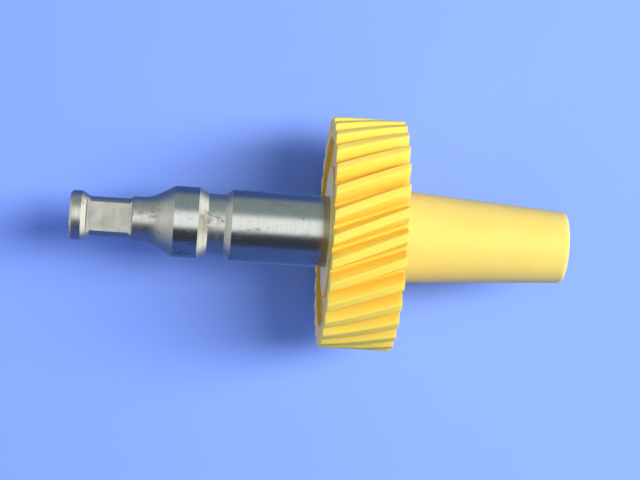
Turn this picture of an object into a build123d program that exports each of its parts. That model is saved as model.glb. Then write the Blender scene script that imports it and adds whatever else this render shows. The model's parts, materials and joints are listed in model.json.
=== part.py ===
from build123d import *
import math
import os

os.makedirs("parts", exist_ok=True)

# Frame: +X runs along the shaft from the drive end to the plastic hub, +Z is square to the
# drive flats, and the origin is on the axis in the middle of the toothed face.
# All sizes are in millimetres.

# ---- driving dimensions ----

# teeth
normal_module = 1.5
tooth_count = 30
helix_degrees = 23.0              # left-hand, equal to the worm's lead angle
pressure_angle = 20.0
face_width = 16.0
dedendum_factor = 1.25
thickness_factor = 1.24           # times the standard thickness, for a worm with a thinned thread
tip_round = 0.25
root_round = 0.45
flank_steps = 6                   # spline points along each involute
tooth_phase = 2.1                 # turn of the first tooth about +X, at mid face, in degrees

# moulded body of the wheel
boss_radius = 14.7                # plain boss round the shaft on the left face
boss_setback = 0.3                # the boss sits this far below the tooth ends
recess_outer_radius = 21.4        # ring-shaped recess of the left face
recess_depth = 1.25
core_depth = 8.0                  # pockets cored out of the right face
core_inner_radius = 10.2
core_outer_radius = 19.8
core_corner = 0.9
rib_count = 10
rib_thickness = 2.0

# tapered hub
hub_end_x = 46.25
hub_end_radius = 8.0
hub_draft = 3.6
hub_edge_round = 1.2
pin_hole_radius = 3.2             # left by the mould's locating pin
pin_hole_depth = 1.5

# shaft, from the drive end to the tail
tip_x = -65.0
collar_radius = 5.5
collar_shoulder_x = -62.5
end_chamfer = 0.5
relief_radius = 4.4
neck_radius = 5.0
neck_x = -51.0
turned_angle = 30.0               # slope of the turned shoulders
neck_blend = 8.0
land_left_x = -42.0
land_right_x = -36.6
journal_radius = 8.0
groove_radius = 6.75
groove_right_x = -30.7
journal_left_x = -29.2
edge_break = 0.2
flat_left_x = -61.4
flat_right_x = -51.2
across_flats = 6.0
flat_corner = 0.4

# shaft inside the moulding
runout_left_x = -7.8              # turned relief between the journal and the knurl
runout_radius = 7.3
knurl_left_x = -4.5
knurl_right_x = 4.5
knurl_count = 36
knurl_depth = 0.45
lock_groove_right_x = 8.0
lock_groove_radius = 6.5
tail_radius = 5.0
tail_chamfer = 0.6

# centre holes, one in each end
centre_pilot_radius = 1.0
centre_mouth_radius = 2.1
centre_cone_angle = 30.0
centre_pilot_depth = 2.6
centre_point_depth = 0.6

# ---- derived gear geometry, in the plane square to the axis ----

helix_angle = math.radians(helix_degrees)
transverse_module = normal_module / math.cos(helix_angle)
pitch_radius = transverse_module * tooth_count / 2
tip_radius = pitch_radius + normal_module
root_radius = pitch_radius - dedendum_factor * normal_module
transverse_pressure = math.atan(math.tan(math.radians(pressure_angle)) / math.cos(helix_angle))
base_radius = pitch_radius * math.cos(transverse_pressure)
pitch_half_angle = thickness_factor * math.pi / (2 * tooth_count)
helix_lead = 2 * math.pi * pitch_radius / math.tan(helix_angle)
face_twist = 360 * face_width / helix_lead
tooth_foot_radius = root_radius - 1.0
core_middle_radius = (core_inner_radius + core_outer_radius) / 2

left_face = Plane.YZ.offset(-face_width / 2)
right_face = Plane.YZ.offset(face_width / 2)


def involute(angle):
    """Involute function of an angle in radians."""
    return math.tan(angle) - angle


def flank_point(radius, side):
    """Point of a tooth flank at this radius, for a tooth centred on the local X axis."""
    working = max(radius, base_radius)
    pressure = math.acos(base_radius / working)
    half_angle = pitch_half_angle + involute(transverse_pressure) - involute(pressure)
    return (radius * math.cos(half_angle), side * radius * math.sin(half_angle))


def shoulder_length(height, angle=turned_angle):
    """Length along the axis of a turned shoulder of this height."""
    return height / math.tan(math.radians(angle))


# ---- output shaft: one turned and ground steel piece ----

hub_tail_x = hub_end_x - pin_hole_depth
collar_cone_x = collar_shoulder_x + shoulder_length(collar_radius - relief_radius)
relief_cone_x = neck_x - shoulder_length(neck_radius - relief_radius)
land_cone_x = land_left_x - shoulder_length(journal_radius - neck_radius)
groove_left_x = land_right_x + shoulder_length(journal_radius - groove_radius)
centre_cone_depth = shoulder_length(centre_mouth_radius - centre_pilot_radius, centre_cone_angle)
centre_hole_depth = centre_cone_depth + centre_pilot_depth + centre_point_depth

with BuildPart() as output_shaft:
    with BuildSketch() as shaft_profile:
        with BuildLine():
            Polyline(
                (tip_x, 0),
                (tip_x, collar_radius - end_chamfer),
                (tip_x + end_chamfer, collar_radius),
                (collar_shoulder_x, collar_radius),
                (collar_cone_x, relief_radius),
                (relief_cone_x, relief_radius),
                (neck_x, neck_radius),
                (land_cone_x, neck_radius),
                (land_left_x, journal_radius),
                (land_right_x, journal_radius),
                (groove_left_x, groove_radius),
                (groove_right_x, groove_radius),
                (journal_left_x, journal_radius),
                (runout_left_x, journal_radius),
                (runout_left_x, runout_radius),
                (knurl_left_x, runout_radius),
                (knurl_left_x, journal_radius),
                (knurl_right_x, journal_radius),
                (knurl_right_x, lock_groove_radius),
                (lock_groove_right_x, lock_groove_radius),
                (lock_groove_right_x, tail_radius),
                (hub_tail_x - tail_chamfer, tail_radius),
                (hub_tail_x, tail_radius - tail_chamfer),
                (hub_tail_x, 0),
                close=True,
            )
        make_face()
        neck_corner = shaft_profile.vertices().sort_by_distance((land_cone_x, neck_radius))[0]
        fillet(neck_corner, neck_blend)
        for edge_x in (land_left_x, land_right_x, journal_left_x):
            edge_corner = shaft_profile.vertices().sort_by_distance((edge_x, journal_radius))[0]
            fillet(edge_corner, edge_break)
    revolve(axis=Axis.X)

    # drive end: two parallel flats, milled with a cutter that leaves a small corner radius
    with BuildSketch(Plane.XZ) as flat_cutters:
        flat_middle_x = (flat_left_x + flat_right_x) / 2
        cutter_height = 2 * journal_radius
        cutter_offset = across_flats / 2 + cutter_height / 2
        with Locations((flat_middle_x, cutter_offset), (flat_middle_x, -cutter_offset)):
            Rectangle(flat_right_x - flat_left_x, cutter_height)
        fillet(flat_cutters.vertices(), flat_corner)
    extrude(amount=2 * journal_radius, both=True, mode=Mode.SUBTRACT)

    # straight knurl that the plastic grips
    with BuildSketch(Plane.YZ.offset(knurl_left_x)):
        with PolarLocations(journal_radius, knurl_count):
            Rectangle(knurl_depth * math.sqrt(2), knurl_depth * math.sqrt(2), rotation=45)
    extrude(amount=knurl_right_x - knurl_left_x, mode=Mode.SUBTRACT)

    # centre holes for turning and grinding between centres
    with BuildSketch():
        for end_x, inward in ((tip_x, 1), (hub_tail_x, -1)):
            pilot_start_x = end_x + inward * centre_cone_depth
            pilot_end_x = pilot_start_x + inward * centre_pilot_depth
            with BuildLine():
                Polyline(
                    (end_x, 0),
                    (end_x, centre_mouth_radius),
                    (pilot_start_x, centre_pilot_radius),
                    (pilot_end_x, centre_pilot_radius),
                    (pilot_end_x + inward * centre_point_depth, 0),
                    close=True,
                )
            make_face()
    revolve(axis=Axis.X, mode=Mode.SUBTRACT)

# ---- worm wheel: teeth, web and tapered hub moulded round the shaft in one shot ----

with BuildSketch() as single_tooth:
    involute_start = max(base_radius, root_radius)
    flank_radii = [tooth_foot_radius, root_radius]
    for step in range(flank_steps + 1):
        flank_radii.append(involute_start + (tip_radius - involute_start) * step / flank_steps)
    with BuildLine():
        for side in (1, -1):
            Spline([flank_point(radius, side) for radius in flank_radii])
        ThreePointArc(flank_point(tip_radius, 1), (tip_radius, 0), flank_point(tip_radius, -1))
        Line(flank_point(tooth_foot_radius, 1), flank_point(tooth_foot_radius, -1))
    make_face()

with BuildPart() as worm_wheel:
    # toothed disc, twisted along the axis into a left-hand helix
    with BuildLine() as wheel_axis:
        Line((-face_width / 2, 0, 0), (face_width / 2, 0, 0))
    with BuildLine(mode=Mode.PRIVATE) as tooth_helix:
        Helix(helix_lead, face_width, pitch_radius, (-face_width / 2, 0, 0), (1, 0, 0), lefthand=True)
    with BuildSketch(left_face) as tooth_section:
        Circle(root_radius)
        with PolarLocations(0, tooth_count, start_angle=tooth_phase + face_twist / 2):
            add(single_tooth.sketch)
        fillet(
            tooth_section.vertices().filter_by(lambda v: abs(math.hypot(v.X, v.Y) - tip_radius) < 0.01),
            tip_round,
        )
        fillet(
            tooth_section.vertices().filter_by(lambda v: abs(math.hypot(v.X, v.Y) - root_radius) < 0.01),
            root_round,
        )
    sweep(path=wheel_axis.wires()[0], binormal=tooth_helix.wires()[0])

    # left face: boss a little below the tooth ends, inside a shallow ring recess
    with BuildSketch():
        with BuildLine():
            Polyline(
                (-face_width / 2 - 1, 0),
                (-face_width / 2 - 1, recess_outer_radius),
                (-face_width / 2 + recess_depth, recess_outer_radius),
                (-face_width / 2 + recess_depth, boss_radius),
                (-face_width / 2 + boss_setback, boss_radius),
                (-face_width / 2 + boss_setback, 0),
                close=True,
            )
        make_face()
    revolve(axis=Axis.X, mode=Mode.SUBTRACT)

    # right face: pockets cored out between radial ribs
    with BuildSketch(right_face) as core_pockets:
        Circle(core_outer_radius)
        Circle(core_inner_radius, mode=Mode.SUBTRACT)
        with PolarLocations(core_middle_radius, rib_count):
            Rectangle(core_outer_radius, rib_thickness, mode=Mode.SUBTRACT)
        fillet(core_pockets.vertices(), core_corner)
    extrude(amount=-core_depth, mode=Mode.SUBTRACT)

    # tapered hub
    with BuildSketch() as hub_profile:
        hub_root_x = face_width / 2 - core_depth - 1
        hub_root_radius = hub_end_radius + (hub_end_x - hub_root_x) * math.tan(math.radians(hub_draft))
        with BuildLine():
            Polyline(
                (hub_root_x, 0),
                (hub_root_x, hub_root_radius),
                (hub_end_x, hub_end_radius),
                (hub_end_x, 0),
                close=True,
            )
        make_face()
        fillet(
            hub_profile.vertices().sort_by_distance((hub_end_x, hub_end_radius))[0],
            hub_edge_round,
        )
    revolve(axis=Axis.X)

    # hole of the mould's locating pin, whose point sits in the shaft's centre hole
    with BuildSketch(Plane.YZ.offset(hub_end_x)):
        Circle(pin_hole_radius)
    extrude(amount=-pin_hole_depth, mode=Mode.SUBTRACT)
    with BuildSketch(Plane.YZ.offset(hub_tail_x)):
        Circle(centre_mouth_radius)
    extrude(amount=-centre_hole_depth, mode=Mode.SUBTRACT)

    # space that the shaft fills
    add(output_shaft.part, mode=Mode.SUBTRACT)

output_shaft.part.label = "output_shaft"
worm_wheel.part.label = "worm_wheel"

export_step(output_shaft.part, "parts/output_shaft.step")
export_step(worm_wheel.part, "parts/worm_wheel.step")
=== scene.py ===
import math

import bmesh
import bpy
from mathutils import Matrix, Vector
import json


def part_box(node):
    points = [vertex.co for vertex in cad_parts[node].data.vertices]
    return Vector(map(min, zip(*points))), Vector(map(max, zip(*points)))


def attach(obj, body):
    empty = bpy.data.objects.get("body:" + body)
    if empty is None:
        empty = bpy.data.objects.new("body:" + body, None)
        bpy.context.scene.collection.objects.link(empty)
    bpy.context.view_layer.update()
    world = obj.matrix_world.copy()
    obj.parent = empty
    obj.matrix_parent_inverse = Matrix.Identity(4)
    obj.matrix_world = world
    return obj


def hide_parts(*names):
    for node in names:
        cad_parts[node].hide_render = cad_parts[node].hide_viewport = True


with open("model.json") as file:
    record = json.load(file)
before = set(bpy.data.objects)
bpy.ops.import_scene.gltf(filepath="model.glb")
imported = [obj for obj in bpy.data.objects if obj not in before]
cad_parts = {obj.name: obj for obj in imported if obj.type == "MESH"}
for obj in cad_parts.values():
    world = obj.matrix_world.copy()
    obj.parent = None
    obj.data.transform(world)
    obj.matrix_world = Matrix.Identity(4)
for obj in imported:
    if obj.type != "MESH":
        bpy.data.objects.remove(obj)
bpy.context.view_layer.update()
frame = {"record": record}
scene = bpy.context.scene

# Everything is modelled in millimetres and written in metres. The row frame is kept:
# X runs along the shaft, and a point at radius r and angle a stands at Y = r cos a, Z = r sin a.
MM = 0.001

# ---- sizes read from the frame ----
wheel_low, wheel_high = (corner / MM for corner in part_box("worm_wheel"))
shaft_low, shaft_high = (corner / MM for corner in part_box("output_shaft"))
mounts = {mount["name"]: mount for mount in frame["record"]["mounts"]}

face_left = wheel_low.x
face_right = -face_left
tip_radius = wheel_high.z
hub_end_x = wheel_high.x
tip_x = shaft_low.x
hub_tail_x = shaft_high.x
journal_radius = mounts["main_journal"]["dims"]["r_mm"]
land_centre_x = mounts["front_land"]["pos_m"][0] / MM
land_half_length = mounts["front_land"]["dims"]["length_mm"] / 2
flat_height = mounts["drive_flat"]["pos_m"][2] / MM
flat_centre_x = mounts["drive_flat"]["pos_m"][0] / MM

# ---- sizes of the teeth ----
TOOTH_COUNT = 30
NORMAL_MODULE = 1.5
PRESSURE_ANGLE = math.radians(20.0)
TOOTH_PHASE = math.radians(2.1)
DEDENDUM = 1.25 * NORMAL_MODULE
TIP_ROUND = 0.25
ROOT_ROUND = 0.45
TOOTH_THICKNESS = 1.24            # times the standard thickness
END_ROUND = 0.18                  # softened edge where the teeth end
SLICES = 18                       # steps of the helix across the face
END_STEPS = 3                     # steps of the softened edge
ROUND_REACH = 0.8                 # how far a rounding reaches along the flank, per unit of its radius

pitch_radius = tip_radius - NORMAL_MODULE
root_radius = pitch_radius - DEDENDUM
helix_angle = math.acos(NORMAL_MODULE * TOOTH_COUNT / (2 * pitch_radius))
transverse_pressure = math.atan(math.tan(PRESSURE_ANGLE) / math.cos(helix_angle))
base_radius = pitch_radius * math.cos(transverse_pressure)
twist_per_mm = math.tan(helix_angle) / pitch_radius
tooth_angle = 2 * math.pi / TOOTH_COUNT

# ---- sizes of the moulding ----
RIM_INNER = 21.4
BOSS_RADIUS = 14.7
RECESS_FLOOR_X = face_left + 1.25
BOSS_FACE_X = face_left + 0.3
WEB_X = face_right - 8.0
HUB_END_RADIUS = 8.0
HUB_EDGE_ROUND = 1.2
HUB_SLOPE = math.tan(math.radians(3.6))
RIB_COUNT = 10
RIB_THICKNESS = 2.0
POCKET_OUTER = 19.8
POCKET_CORNER = 0.9
POCKET_CLEARANCE = 0.02           # keeps the pockets' inner walls just off the hub's own skin
POCKET_MOUTH = 0.3                # chamfer round each pocket's mouth
POCKET_FLOOR = 0.4                # rounding round each pocket's floor
POCKET_OVERSHOOT = 0.5
RIM_BORDER = 0.4                  # flat border between the recess and the teeth
RIM_BORDER_OUTER = 0.45
EDGE_ROUND = 0.2
CORNER_ROUND = 0.3
PIN_HOLE_RADIUS = 3.2
PIN_HOLE_ROUND = 0.15
BORE_RADIUS = journal_radius

# ---- sizes of the shaft that no mount gives ----
CHAMFER_SLOPE = math.tan(math.radians(30.0))
EDGE_BREAK = 0.08
END_CHAMFER = 0.5
COLLAR_RADIUS = 5.5
COLLAR_RIGHT_X = -62.5
FLAT_SHAFT_RADIUS = 4.4
NECK_RADIUS = 5.0
NECK_LEFT_X = -51.0
CONE_ROUND = 8.0
GROOVE_RADIUS = 6.75
GROOVE_ROUND = 0.3
GROOVE_RIGHT_X = -30.7
JOURNAL_LEFT_X = -29.2
JOURNAL_RIGHT_X = -7.8
LAND_EDGE = 0.1                   # the land runs this far past its mount at each end
LAND_BORDER = 0.25
JOURNAL_BORDER = 0.3
RELIEF_RADIUS = 7.3
KNURL_HALF_LENGTH = 4.5
LOCK_RADIUS = 6.5
LOCK_RIGHT_X = 8.0
TAIL_RADIUS = 5.0
TAIL_EDGE = 0.6
FLAT_HALF_LENGTH = 5.1
CUTTER_RADIUS = 0.4
CUTTER_HEIGHT = 6.0
CUTTER_HALF_WIDTH = 7.0
CENTRE_MOUTH = 2.1
CENTRE_EDGE = 0.06
PILOT_RADIUS = 1.0
CENTRE_CONE = (CENTRE_MOUTH - PILOT_RADIUS) / CHAMFER_SLOPE
CENTRE_PILOT = 2.6
CENTRE_POINT = 0.6

# ---- mesh density ----
SHAFT_STEPS = 288                 # a whole number for each groove of the knurl
ARC_STEPS = 5
KNURL_COUNT = 36
KNURL_DEPTH = 0.45


# ---- mesh tools ----

def rounded_path(corners):
    """Points (x, r) of an outline whose corners are (x, r, rounding)."""
    path = []
    for i, (x, r, rounding) in enumerate(corners):
        here = Vector((x, r))
        if not rounding:
            path.append(here)
            continue
        before = (Vector(corners[i - 1][:2]) - here).normalized()
        after = (Vector(corners[i + 1][:2]) - here).normalized()
        reach = rounding / math.tan(before.angle(after) / 2)
        for step in range(ARC_STEPS + 1):
            t = step / ARC_STEPS
            path.append(here + reach * ((1 - t) ** 2 * before + t ** 2 * after))
    return path


def ring(bm, x, radius, steps):
    """One round of vertices about the axis. The radius may be a function of the angle."""
    vertices = []
    for step in range(steps):
        angle = 2 * math.pi * step / steps
        r = radius(angle) if callable(radius) else radius
        vertices.append(bm.verts.new((x * MM, r * math.cos(angle) * MM, r * math.sin(angle) * MM)))
    return vertices


def bridge(bm, first, second, zone=0):
    """Faces between two rings. The first may have a whole multiple of the second's vertices."""
    ratio = len(first) // len(second)
    for k in range(len(second)):
        outer = [first[(k * ratio + j) % len(first)] for j in range(ratio + 1)]
        inner = [second[(k + 1) % len(second)], second[k]]
        bm.faces.new(outer + inner).material_index = zone


def cap(bm, vertices, x, zone=0):
    """Closes a ring with a fan to a point on the axis."""
    centre = bm.verts.new((x * MM, 0, 0))
    for k in range(len(vertices)):
        bm.faces.new((vertices[k], vertices[(k + 1) % len(vertices)], centre)).material_index = zone


def to_object(bm, name, materials=()):
    """Links the finished mesh to the scene."""
    bmesh.ops.recalc_face_normals(bm, faces=bm.faces)
    mesh = bpy.data.meshes.new(name)
    bm.to_mesh(mesh)
    bm.free()
    for material in materials:
        mesh.materials.append(material)
    made = bpy.data.objects.new(name, mesh)
    scene.collection.objects.link(made)
    return made


def bake(piece):
    """Replaces the mesh by what its modifiers make of it."""
    graph = bpy.context.evaluated_depsgraph_get()
    made = bpy.data.meshes.new_from_object(piece.evaluated_get(graph))
    piece.modifiers.clear()
    piece.data = made


def cut(piece, cutter):
    """Takes the cutter's shape out of the piece."""
    boolean = piece.modifiers.new("cut", "BOOLEAN")
    boolean.operation = "DIFFERENCE"
    boolean.solver = "EXACT"
    boolean.object = cutter
    bake(piece)
    bpy.data.objects.remove(cutter)


def smooth(piece, sharp_degrees):
    """Smooth shading that keeps flat faces flat and real corners crisp."""
    piece.data.shade_smooth()
    piece.data.set_sharp_from_angle(angle=math.radians(sharp_degrees))
    weighted = piece.modifiers.new("weighted", "WEIGHTED_NORMAL")
    weighted.keep_sharp = True
    weighted.weight = 90
    bake(piece)


# ---- material tools ----

class Nodes:
    """Short forms for building a material's node tree."""

    def __init__(self, name):
        self.material = bpy.data.materials.new(name)
        self.material.use_nodes = True
        self.tree = self.material.node_tree
        self.shader = self.tree.nodes["Principled BSDF"]
        self.place = self.add("ShaderNodeTexCoord").outputs["Object"]

    def add(self, kind, **values):
        node = self.tree.nodes.new(kind)
        for key, value in values.items():
            setattr(node, key, value)
        return node

    def feed(self, socket, value):
        if isinstance(value, bpy.types.NodeSocket):
            self.tree.links.new(value, socket)
        else:
            socket.default_value = value

    def noise(self, stretch, detail=3.0, roughness=0.55):
        """Noise whose grains are 1/stretch metres long along each axis."""
        scaled = self.add("ShaderNodeVectorMath", operation="MULTIPLY")
        self.feed(scaled.inputs[0], self.place)
        scaled.inputs[1].default_value = stretch
        noise = self.add("ShaderNodeTexNoise")
        self.feed(noise.inputs["Vector"], scaled.outputs["Vector"])
        noise.inputs["Scale"].default_value = 1.0
        noise.inputs["Detail"].default_value = detail
        noise.inputs["Roughness"].default_value = roughness
        return noise.outputs["Fac"]

    def remap(self, value, low, high, out_low, out_high):
        node = self.add("ShaderNodeMapRange", interpolation_type="SMOOTHSTEP")
        self.feed(node.inputs["Value"], value)
        for key, number in (("From Min", low), ("From Max", high), ("To Min", out_low), ("To Max", out_high)):
            node.inputs[key].default_value = number
        return node.outputs["Result"]

    def math(self, operation, first, second):
        node = self.add("ShaderNodeMath", operation=operation)
        self.feed(node.inputs[0], first)
        self.feed(node.inputs[1], second)
        return node.outputs["Value"]

    def mix(self, amount, first, second):
        node = self.add("ShaderNodeMix", data_type="RGBA")
        self.feed(node.inputs["Factor"], amount)
        for socket, colour in ((node.inputs["A"], first), (node.inputs["B"], second)):
            self.feed(socket, colour if isinstance(colour, bpy.types.NodeSocket) else (*colour, 1.0))
        return node.outputs["Result"]

    def radius(self):
        """Distance from the shaft's axis, in metres."""
        flat = self.add("ShaderNodeVectorMath", operation="MULTIPLY")
        self.feed(flat.inputs[0], self.place)
        flat.inputs[1].default_value = (0, 1, 1)
        length = self.add("ShaderNodeVectorMath", operation="LENGTH")
        self.feed(length.inputs[0], flat.outputs["Vector"])
        return length.outputs["Value"]

    def bump(self, height, distance, normal=None):
        node = self.add("ShaderNodeBump")
        self.feed(node.inputs["Height"], height)
        node.inputs["Distance"].default_value = distance
        node.inputs["Strength"].default_value = 1.0
        if normal is not None:
            self.feed(node.inputs["Normal"], normal)
        return node.outputs["Normal"]


def steel(name, colour, stain, roughness, lines, line_depth, anisotropy):
    """Machined steel: fine marks round the axis, a little staining and handling wear."""
    n = Nodes(name)
    fine = n.noise((lines, lines * 0.01, lines * 0.01), detail=2.0)
    coarse = n.noise((lines * 0.25, lines * 0.004, lines * 0.004), detail=2.0)
    marks = n.math("ADD", n.math("MULTIPLY", fine, 0.6), n.math("MULTIPLY", coarse, 0.4))
    patches = n.noise((160, 260, 260), detail=5.0, roughness=0.62)
    flecks = n.noise((900, 1600, 1600), detail=4.0, roughness=0.7)
    broken_up = n.remap(flecks, 0.42, 0.62, 0.1, 1.0)
    stained = n.math("MULTIPLY", n.remap(patches, 0.52, 0.66, 0.0, 0.75), broken_up)
    nicks = n.remap(flecks, 0.66, 0.73, 0.0, 0.70)
    worn = n.math("MAXIMUM", stained, nicks)
    clean = n.mix(n.remap(marks, 0.35, 0.65, 0.0, 0.35), colour, tuple(c * 0.72 for c in colour))
    n.feed(n.shader.inputs["Base Color"], n.mix(worn, clean, stain))
    grooved = n.remap(marks, 0.3, 0.7, roughness * 0.8, roughness * 1.2)
    rough = n.math("ADD", grooved, n.math("MULTIPLY", worn, 0.28))
    n.feed(n.shader.inputs["Roughness"], rough)
    n.feed(n.shader.inputs["Normal"], n.bump(flecks, line_depth * 0.5, n.bump(marks, line_depth)))
    n.shader.inputs["Metallic"].default_value = 1.0
    n.shader.inputs["Anisotropic"].default_value = anisotropy
    tangent = n.add("ShaderNodeTangent", direction_type="RADIAL", axis="X")
    n.feed(n.shader.inputs["Tangent"], tangent.outputs["Tangent"])
    return n.material


def milled_steel(name):
    """The drive flats: dull, with the cutter's marks running across the shaft."""
    n = Nodes(name)
    cutter = n.noise((5200, 160, 160), detail=2.0)
    cloud = n.noise((300, 420, 420), detail=4.0)
    colour = n.mix(n.remap(cloud, 0.35, 0.65, 0.0, 1.0), (0.41, 0.395, 0.36), (0.33, 0.325, 0.30))
    scored = n.remap(cutter, 0.55, 0.8, 0.0, 0.4)
    n.feed(n.shader.inputs["Base Color"], n.mix(scored, colour, (0.27, 0.26, 0.25)))
    n.feed(n.shader.inputs["Roughness"], n.remap(cutter, 0.3, 0.7, 0.34, 0.46))
    n.feed(n.shader.inputs["Normal"], n.bump(cutter, 0.000006))
    n.shader.inputs["Metallic"].default_value = 1.0
    return n.material


def moulded_plastic(name):
    """Yellow nylon: a deeper orange towards the tooth roots as painted shade in the gaps, a paler hub as
    painted sheen, with random cloudy tone and pale handling smears.
    """
    n = Nodes(name)
    cloud = n.noise((90, 110, 110), detail=3.0)
    grain = n.noise((2600, 2600, 2600), detail=3.0, roughness=0.6)
    smear = n.noise((220, 500, 500), detail=4.0)
    # Painted shade: the colour turns a deeper orange from the tooth tips down to the roots. It stands in for
    # the shade and interreflection in the gaps.
    depth = n.remap(n.radius(), (root_radius + 0.1) * MM, (tip_radius - 0.5) * MM, 0.0, 1.0)
    # Painted sheen: the hub gets a paler, whiter yellow than the teeth. It stands in for the soft sheen on
    # its lit surface.
    hub = n.remap(n.radius(), 12.0 * MM, 14.0 * MM, 1.0, 0.0)
    teeth = n.mix(depth, (0.95, 0.60, 0.065), (0.98, 0.71, 0.100))
    colour_with_painted_light = n.mix(hub, teeth, (0.95, 0.70, 0.165))
    shaded = n.mix(n.remap(cloud, 0.35, 0.7, 0.0, 0.22), colour_with_painted_light, (0.93, 0.60, 0.09))
    smeared = n.remap(smear, 0.60, 0.75, 0.0, 0.10)
    n.feed(n.shader.inputs["Base Color"], n.mix(smeared, shaded, (0.98, 0.86, 0.42)))
    n.feed(n.shader.inputs["Roughness"], n.remap(grain, 0.3, 0.7, 0.36, 0.50))
    n.feed(n.shader.inputs["Normal"], n.bump(cloud, 0.00006, n.bump(grain, 0.000012)))
    n.shader.inputs["Subsurface Weight"].default_value = 0.55
    n.shader.inputs["Subsurface Radius"].default_value = (1.0, 0.6, 0.12)
    n.shader.inputs["Subsurface Scale"].default_value = 0.0016
    n.shader.inputs["Coat Weight"].default_value = 0.10
    n.shader.inputs["Coat Roughness"].default_value = 0.22
    return n.material


# ---- worm wheel ----

def flank_angle(radius):
    """Half the angle that a tooth takes up at this radius."""
    pressure = math.acos(base_radius / max(radius, base_radius))
    thick = TOOTH_THICKNESS * math.pi / (2 * TOOTH_COUNT)
    return thick + math.tan(transverse_pressure) - transverse_pressure - math.tan(pressure) + pressure


def tooth_outline():
    """Outline of all the teeth as (y, z) at mid face, with 24 points to a tooth."""
    half = [(tip_radius, 0.0)]
    tip_start = flank_angle(tip_radius) - TIP_ROUND / tip_radius
    tip_end_radius = tip_radius - TIP_ROUND * ROUND_REACH
    for t in (0.0, 0.5, 1.0):
        r = (1 - t) ** 2 * tip_radius + 2 * t * (1 - t) * tip_radius + t ** 2 * tip_end_radius
        a = (1 - t) ** 2 * tip_start + 2 * t * (1 - t) * flank_angle(tip_radius)
        half.append((r, a + t ** 2 * flank_angle(tip_end_radius)))
    foot_radius = root_radius + ROOT_ROUND * ROUND_REACH
    for t in (0.25, 0.5, 0.75):
        r = tip_end_radius + (foot_radius - tip_end_radius) * t
        half.append((r, flank_angle(r)))
    foot_end = flank_angle(root_radius) + ROOT_ROUND * ROUND_REACH / root_radius
    for t in (0.0, 1 / 3, 2 / 3, 1.0):
        r = (1 - t) ** 2 * foot_radius + (1 - (1 - t) ** 2) * root_radius
        a = (1 - t) ** 2 * flank_angle(foot_radius) + 2 * t * (1 - t) * flank_angle(root_radius)
        half.append((r, a + t ** 2 * foot_end))
    gap = (root_radius, tooth_angle / 2)
    mirrored = [(r, -a) for r, a in reversed(half[1:])]
    outline = []
    for k in range(TOOTH_COUNT):
        for r, a in mirrored + half + [gap]:
            outline.append(Vector((r * math.cos(a + k * tooth_angle), r * math.sin(a + k * tooth_angle))))
    return outline


def inset(outline, distance):
    """The outline moved inward along its own normals."""
    moved = []
    for i, point in enumerate(outline):
        along = (outline[(i + 1) % len(outline)] - outline[i - 1]).normalized()
        moved.append(point - distance * Vector((along.y, -along.x)))
    return moved


def toothed_ring(bm, outline, x):
    """The outline's vertices at this place along the axis, turned by the helix."""
    turn = Matrix.Rotation(TOOTH_PHASE - twist_per_mm * x, 2)
    turned = [turn @ point for point in outline]
    return [bm.verts.new((x * MM, p.x * MM, p.y * MM)) for p in turned]


def rim_ring(bm, x, radius, like):
    """A plain ring whose vertices stand opposite every third vertex of a toothed ring."""
    vertices = []
    for vertex in like[::3]:
        angle = math.atan2(vertex.co.z, vertex.co.y)
        vertices.append(bm.verts.new((x * MM, radius * math.cos(angle) * MM, radius * math.sin(angle) * MM)))
    return vertices


def hub_radius(x):
    """Radius of the tapered hub at this place along the axis."""
    return HUB_END_RADIUS + (hub_end_x - x) * HUB_SLOPE


def build_wheel(material):
    """One closed skin: teeth, left face, bore, hub end, hub and right face, in that order."""
    bm = bmesh.new()
    outline = tooth_outline()
    stations = []
    for step in range(END_STEPS + 1):
        turn = step / END_STEPS * math.pi / 2
        stations.append((END_ROUND * (1 - math.sin(turn)), END_ROUND * (1 - math.cos(turn))))
    inner = [face_right + (face_left - face_right) * step / SLICES for step in range(1, SLICES)]
    rings = [toothed_ring(bm, inset(outline, back), face_right - depth) for back, depth in stations]
    rings += [toothed_ring(bm, outline, x) for x in inner]
    rings += [toothed_ring(bm, inset(outline, back), face_left + depth) for back, depth in reversed(stations)]
    for first, second in zip(rings, rings[1:]):
        bridge(bm, first, second)

    start = rim_ring(bm, face_left, RIM_INNER + RIM_BORDER_OUTER, rings[-1])
    bridge(bm, rings[-1], start)
    profile = rounded_path([
        (face_left, RIM_INNER + RIM_BORDER, 0),
        (face_left, RIM_INNER, EDGE_ROUND),
        (RECESS_FLOOR_X, RIM_INNER, CORNER_ROUND),
        (RECESS_FLOOR_X, BOSS_RADIUS, CORNER_ROUND),
        (BOSS_FACE_X, BOSS_RADIUS, EDGE_ROUND),
        (BOSS_FACE_X, RELIEF_RADIUS, 0),
        (-KNURL_HALF_LENGTH, RELIEF_RADIUS, 0),
        (-KNURL_HALF_LENGTH, BORE_RADIUS, 0),
        (KNURL_HALF_LENGTH, BORE_RADIUS, 0),
        (KNURL_HALF_LENGTH, LOCK_RADIUS, 0),
        (LOCK_RIGHT_X, LOCK_RADIUS, 0),
        (LOCK_RIGHT_X, TAIL_RADIUS, 0),
        (hub_tail_x - TAIL_EDGE, TAIL_RADIUS, 0),
        (hub_tail_x, TAIL_RADIUS - TAIL_EDGE, 0),
        (hub_tail_x, PIN_HOLE_RADIUS, 0),
        (hub_end_x, PIN_HOLE_RADIUS, PIN_HOLE_ROUND),
        (hub_end_x, HUB_END_RADIUS, HUB_EDGE_ROUND),
        (face_right, hub_radius(face_right), CORNER_ROUND),
        (face_right, RIM_INNER + RIM_BORDER, 0),
    ])
    previous = start
    for point in profile:
        current = rim_ring(bm, point.x, point.y, rings[-1])
        bridge(bm, previous, current)
        previous = current
    close_to_teeth(bm, previous, rings[0])
    wheel = to_object(bm, "moulded_wheel", [material])
    cut(wheel, pocket_cutters())
    smooth(wheel, 40)
    return wheel


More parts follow.
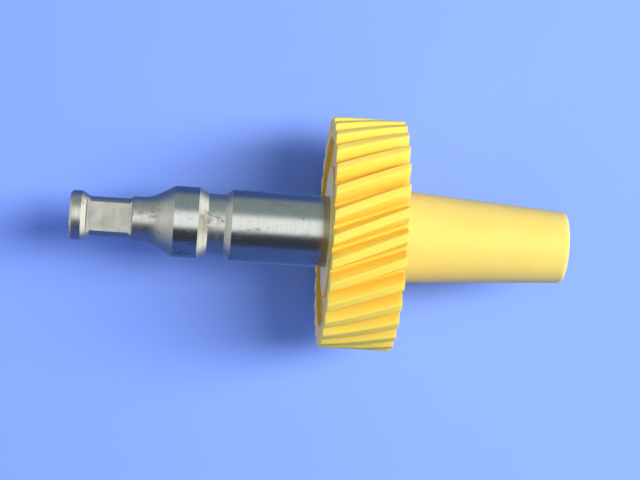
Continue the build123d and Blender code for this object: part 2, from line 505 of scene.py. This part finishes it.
def close_to_teeth(bm, plain, toothed):
    """Joins the right face's rim to the teeth, whose helix has turned them away from it."""
    def angle_of(vertex):
        return math.atan2(vertex.co.z, vertex.co.y) % (2 * math.pi)
    nearest = min(range(len(plain)), key=lambda k: abs(
        math.remainder(angle_of(plain[k]) - angle_of(toothed[0]), 2 * math.pi)))
    bridge(bm, toothed, plain[nearest:] + plain[:nearest])


def pocket_cutters():
    """The cores between the ribs of the right face, all as one object."""
    bm = bmesh.new()
    levels = (
        (face_right + POCKET_OVERSHOOT, POCKET_MOUTH),
        (face_right, POCKET_MOUTH),
        (face_right - 0.3 * POCKET_MOUTH, 0.3 * POCKET_MOUTH),
        (face_right - POCKET_MOUTH, 0.0),
        (WEB_X + POCKET_FLOOR, 0.0),
        (WEB_X + 0.3 * POCKET_FLOOR, -0.3 * POCKET_FLOOR),
        (WEB_X, -POCKET_FLOOR),
    )
    for k in range(RIB_COUNT):
        middle = math.pi / RIB_COUNT + 2 * math.pi * k / RIB_COUNT
        loops = [pocket_loop(bm, x, middle, grow) for x, grow in levels]
        for first, second in zip(loops, loops[1:]):
            bridge(bm, first, second)
        bm.faces.new(loops[0])
        bm.faces.new(list(reversed(loops[-1])))
    return to_object(bm, "pocket_cutters")


def pocket_loop(bm, x, middle, grow):
    """Outline of one pocket at this depth, larger than nominal all round by this much."""
    outer = POCKET_OUTER + grow
    inner = hub_radius(min(x, face_right)) + POCKET_CLEARANCE
    side = RIB_THICKNESS / 2 - grow

    def rib_angle(radius):
        return math.pi / RIB_COUNT - math.asin(side / radius)

    arc_end = rib_angle(outer) - POCKET_CORNER / outer
    half = [(outer, arc_end * step / 6) for step in range(7)]
    straight_start = outer - POCKET_CORNER
    for t in (1 / 3, 2 / 3, 1.0):
        r = (1 - t ** 2) * outer + t ** 2 * straight_start
        a = (1 - t) ** 2 * arc_end + 2 * t * (1 - t) * rib_angle(outer) + t ** 2 * rib_angle(straight_start)
        half.append((r, a))
    half.append(((straight_start + inner) / 2, rib_angle((straight_start + inner) / 2)))
    half += [(inner, rib_angle(inner) * (1 - step / 4)) for step in range(5)]
    points = half + [(r, -a) for r, a in reversed(half[1:-1])]
    loop = []
    for r, a in points:
        loop.append(bm.verts.new((x * MM, r * math.cos(middle + a) * MM, r * math.sin(middle + a) * MM)))
    return loop


# ---- output shaft ----

GROUND, TURNED, MILLED = range(3)


def knurled(angle):
    """Radius of the knurl: V-shaped grooves along the shaft."""
    pitch = 2 * math.pi / KNURL_COUNT
    away = abs(math.remainder(angle, pitch)) * journal_radius
    return journal_radius - max(0.0, KNURL_DEPTH - away)


def build_shaft(ground, turned, milled):
    """Turned profile from one centre hole to the other, then the flats cut into it."""
    collar_foot_x = COLLAR_RIGHT_X + (COLLAR_RADIUS - FLAT_SHAFT_RADIUS) / CHAMFER_SLOPE
    neck_foot_x = NECK_LEFT_X - (NECK_RADIUS - FLAT_SHAFT_RADIUS) / CHAMFER_SLOPE
    land_left = land_centre_x - land_half_length - LAND_EDGE
    land_right = land_centre_x + land_half_length + LAND_EDGE
    sections = [
        (TURNED, [
            (tip_x + CENTRE_CONE + CENTRE_PILOT, PILOT_RADIUS, 0),
            (tip_x + CENTRE_CONE, PILOT_RADIUS, 0),
            (tip_x, CENTRE_MOUTH, CENTRE_EDGE),
            (tip_x, COLLAR_RADIUS - END_CHAMFER, EDGE_BREAK),
            (tip_x + END_CHAMFER, COLLAR_RADIUS, EDGE_BREAK),
            (COLLAR_RIGHT_X, COLLAR_RADIUS, EDGE_BREAK),
            (collar_foot_x, FLAT_SHAFT_RADIUS, EDGE_BREAK),
            (neck_foot_x, FLAT_SHAFT_RADIUS, EDGE_BREAK),
            (NECK_LEFT_X, NECK_RADIUS, EDGE_BREAK),
            (land_left - (journal_radius - NECK_RADIUS) / CHAMFER_SLOPE, NECK_RADIUS, CONE_ROUND),
            (land_left, journal_radius, 0),
        ]),
        (GROUND, [
            (land_left, journal_radius, 0),
            (land_left + LAND_BORDER, journal_radius, 0),
            (land_right - LAND_BORDER, journal_radius, 0),
            (land_right, journal_radius, 0),
        ]),
        (TURNED, [
            (land_right, journal_radius, 0),
            (land_right + (journal_radius - GROOVE_RADIUS) / CHAMFER_SLOPE, GROOVE_RADIUS, GROOVE_ROUND),
            (GROOVE_RIGHT_X, GROOVE_RADIUS, GROOVE_ROUND),
            (JOURNAL_LEFT_X, journal_radius, 0),
        ]),
        (GROUND, [
            (JOURNAL_LEFT_X, journal_radius, 0),
            (JOURNAL_LEFT_X + JOURNAL_BORDER, journal_radius, 0),
            (JOURNAL_RIGHT_X - JOURNAL_BORDER, journal_radius, 0),
            (JOURNAL_RIGHT_X, journal_radius, 0),
        ]),
        (TURNED, [
            (JOURNAL_RIGHT_X, journal_radius, 0),
            (JOURNAL_RIGHT_X, RELIEF_RADIUS, 0),
            (-KNURL_HALF_LENGTH, RELIEF_RADIUS, 0),
        ]),
    ]
    bm = bmesh.new()
    previous = None
    for zone, corners in sections:
        for point in rounded_path(corners):
            if previous and (point - previous_point).length < 0.001:
                continue
            current = ring(bm, point.x, point.y, SHAFT_STEPS)
            if previous:
                bridge(bm, previous, current, zone)
            else:
                cap(bm, current, point.x + CENTRE_POINT, TURNED)
            previous = current
            previous_point = point
    for x in (-KNURL_HALF_LENGTH, KNURL_HALF_LENGTH):
        current = ring(bm, x, knurled, SHAFT_STEPS)
        bridge(bm, previous, current, TURNED)
        previous = current
    tail = [
        (KNURL_HALF_LENGTH, LOCK_RADIUS, 0),
        (LOCK_RIGHT_X, LOCK_RADIUS, 0),
        (LOCK_RIGHT_X, TAIL_RADIUS, 0),
        (hub_tail_x, TAIL_RADIUS, TAIL_EDGE),
        (hub_tail_x, CENTRE_MOUTH, CENTRE_EDGE),
        (hub_tail_x - CENTRE_CONE, PILOT_RADIUS, 0),
        (hub_tail_x - CENTRE_CONE - CENTRE_PILOT, PILOT_RADIUS, 0),
    ]
    for point in rounded_path(tail):
        current = ring(bm, point.x, point.y, SHAFT_STEPS)
        bridge(bm, previous, current, TURNED)
        previous = current
    cap(bm, previous, tail[-1][0] - CENTRE_POINT, TURNED)
    shaft = to_object(bm, "turned_shaft", [ground, turned, milled])
    cut(shaft, flat_cutters(milled))
    smooth(shaft, 25)
    return shaft


def flat_cutters(milled):
    """Two blocks that leave the drive flats, with the cutter's radius at each end wall."""
    bm = bmesh.new()
    for side in (1, -1):
        outline = []
        for end in (-1, 1):
            for step in range(ARC_STEPS + 1):
                turn = math.pi / 2 * (step / ARC_STEPS if end < 0 else 1 - step / ARC_STEPS)
                x = flat_centre_x + end * (FLAT_HALF_LENGTH - CUTTER_RADIUS * (1 - math.cos(turn)))
                outline.append((x, flat_height + CUTTER_RADIUS * (1 - math.sin(turn))))
        outline.append((flat_centre_x + FLAT_HALF_LENGTH, CUTTER_HEIGHT))
        outline.append((flat_centre_x - FLAT_HALF_LENGTH, CUTTER_HEIGHT))
        loops = []
        for y in (-CUTTER_HALF_WIDTH, CUTTER_HALF_WIDTH):
            loops.append([bm.verts.new((x * MM, y * MM, side * z * MM)) for x, z in outline])
        bridge(bm, loops[0], loops[1], MILLED)
        bm.faces.new(loops[0]).material_index = MILLED
        bm.faces.new(list(reversed(loops[1]))).material_index = MILLED
    return to_object(bm, "flat_cutters", [milled, milled, milled])


# ---- camera, floor and light ----

CAMERA_LENS = 103.8
CAMERA_FORWARD = Vector((0.0703, 0.0, -0.9975))
CAMERA_RIGHT = Vector((0.9953, 0.0672, 0.0702))
CAMERA_PLACE = Vector((-0.0382, -0.00197, 0.4138))
FLOOR_HALF_SIZE = 1.5             # metres
FLOOR_GAP = 0.05                  # between the wheel and the floor
AMBIENT = (0.075, 0.135, 0.33)
BACKDROP = (0.42, 0.55, 0.90)
MIRRORED_HUB_SIDE = (2.00, 2.02, 1.84)
MIRRORED_DRIVE_SIDE = (0.98, 1.00, 0.95)


def build_camera():
    """Looks straight down on the part, a little from the drive end, as in the reference view."""
    camera_data = bpy.data.cameras.new("camera")
    camera_data.sensor_width = 36.0
    camera_data.lens = CAMERA_LENS
    camera = bpy.data.objects.new("camera", camera_data)
    scene.collection.objects.link(camera)
    forward = CAMERA_FORWARD.normalized()
    right = CAMERA_RIGHT.normalized()
    up = right.cross(forward)
    right = forward.cross(up)
    placed = Matrix((right, up, -forward)).transposed().to_4x4()
    placed.translation = CAMERA_PLACE
    camera.matrix_world = placed
    scene.camera = camera


def build_floor():
    """A plain pale sheet that the wheel rests on."""
    n = Nodes("floor_paper")
    cloud = n.noise((6, 6, 6), detail=2.0)
    n.feed(n.shader.inputs["Base Color"], n.mix(cloud, (0.255, 0.395, 0.93), (0.270, 0.415, 0.94)))
    n.shader.inputs["Roughness"].default_value = 0.9
    n.shader.inputs["Specular IOR Level"].default_value = 0.1
    bm = bmesh.new()
    bmesh.ops.create_grid(bm, x_segments=8, y_segments=8, size=FLOOR_HALF_SIZE)
    floor = to_object(bm, "floor", [n.material])
    floor.location.z = (-tip_radius - FLOOR_GAP) * MM
    floor.visible_glossy = False


def add_light(name, direction, distance, size, watts, colour):
    """A soft rectangular lamp aimed at the origin. It lights surfaces but isn't mirrored in the steel."""
    data = bpy.data.lights.new(name, "AREA")
    data.shape = "RECTANGLE"
    data.size, data.size_y = size
    data.energy = watts
    data.color = colour
    lamp = bpy.data.objects.new(name, data)
    scene.collection.objects.link(lamp)
    lamp.location = Vector(direction).normalized() * distance
    lamp.rotation_euler = (-lamp.location).to_track_quat("-Z", "Y").to_euler()
    lamp.visible_glossy = False


# What the polished steel mirrors, by angle from straight up towards +Y, in degrees.
SURROUNDINGS = (
    (-180, (0.32, 0.40, 0.95)),
    (-158, (0.10, 0.19, 0.58)),
    (-72, (0.10, 0.19, 0.58)),
    (-62, (0.065, 0.075, 0.10)),
    (-24, (0.065, 0.075, 0.10)),
    (-11, (1.70, 1.74, 1.72)),
    (25, (1.70, 1.74, 1.72)),
    (42, (0.44, 0.52, 0.53)),
    (94, (0.40, 0.47, 0.50)),
    (112, (0.08, 0.16, 0.48)),
    (160, (0.08, 0.16, 0.48)),
    (180, (0.32, 0.40, 0.95)),
)


def build_world():
    """A dim room for the plastic and floor, and a lit ceiling for the steel to mirror."""
    world = bpy.data.worlds.new("studio")
    scene.world = world
    world.use_nodes = True
    tree = world.node_tree
    background = tree.nodes["Background"]
    place = tree.nodes.new("ShaderNodeTexCoord").outputs["Generated"]
    split = tree.nodes.new("ShaderNodeSeparateXYZ")
    tree.links.new(place, split.inputs["Vector"])

    angle = tree.nodes.new("ShaderNodeMath")
    angle.operation = "ARCTAN2"
    tree.links.new(split.outputs["Y"], angle.inputs[0])
    tree.links.new(split.outputs["Z"], angle.inputs[1])
    position = tree.nodes.new("ShaderNodeMapRange")
    position.inputs["From Min"].default_value = -math.pi
    position.inputs["From Max"].default_value = math.pi
    tree.links.new(angle.outputs["Value"], position.inputs["Value"])
    ramp = tree.nodes.new("ShaderNodeValToRGB")
    elements = ramp.color_ramp.elements
    for degrees, colour in SURROUNDINGS[1:-1]:
        elements.new((degrees + 180) / 360).color = (*colour, 1)
    elements[0].color = (*SURROUNDINGS[0][1], 1)
    elements[-1].color = (*SURROUNDINGS[-1][1], 1)
    tree.links.new(position.outputs["Result"], ramp.inputs["Fac"])

    def blend(amount, first, second):
        node = tree.nodes.new("ShaderNodeMix")
        node.data_type = "RGBA"
        tree.links.new(amount, node.inputs["Factor"])
        for socket, value in ((node.inputs["A"], first), (node.inputs["B"], second)):
            if isinstance(value, bpy.types.NodeSocket):
                tree.links.new(value, socket)
            else:
                socket.default_value = (*value, 1)
        return node.outputs["Result"]

    def along_x(low, high):
        node = tree.nodes.new("ShaderNodeMapRange")
        node.interpolation_type = "SMOOTHSTEP"
        node.inputs["From Min"].default_value = low
        node.inputs["From Max"].default_value = high
        tree.links.new(split.outputs["X"], node.inputs["Value"])
        return node.outputs["Result"]

    mirrored = blend(along_x(0.40, 0.70), ramp.outputs["Color"], MIRRORED_HUB_SIDE)
    mirrored = blend(along_x(-0.60, -0.95), mirrored, MIRRORED_DRIVE_SIDE)
    path = tree.nodes.new("ShaderNodeLightPath")
    ambient = blend(path.outputs["Is Glossy Ray"], AMBIENT, mirrored)
    shown = blend(path.outputs["Is Camera Ray"], ambient, BACKDROP)
    tree.links.new(shown, background.inputs["Color"])


# ---- the object ----

wheel = build_wheel(moulded_plastic("yellow_nylon"))
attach(wheel, "root")
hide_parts("worm_wheel")

shaft = build_shaft(
    steel("ground_steel", (0.455, 0.465, 0.45), (0.16, 0.16, 0.16), 0.19, 9000, 0.0000010, 0.5),
    steel("turned_steel", (0.50, 0.50, 0.462), (0.26, 0.24, 0.22), 0.34, 5000, 0.000003, 0.4),
    milled_steel("milled_steel"),
)
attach(shaft, "root")
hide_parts("output_shaft")

build_camera()
build_floor()
build_world()
add_light("key", (0.55, 0.13, 0.82), 0.7, (0.20, 0.60), 6.3, (1.0, 0.99, 0.96))
add_light("fill", (0.10, -0.20, 1.0), 0.8, (0.8, 0.9), 1.0, (0.94, 0.97, 1.0))
add_light("drive_side", (-1.0, 0.0, 0.28), 0.8, (0.5, 0.5), 1.5, (0.90, 0.93, 1.0))
scene.view_settings.view_transform = "Standard"
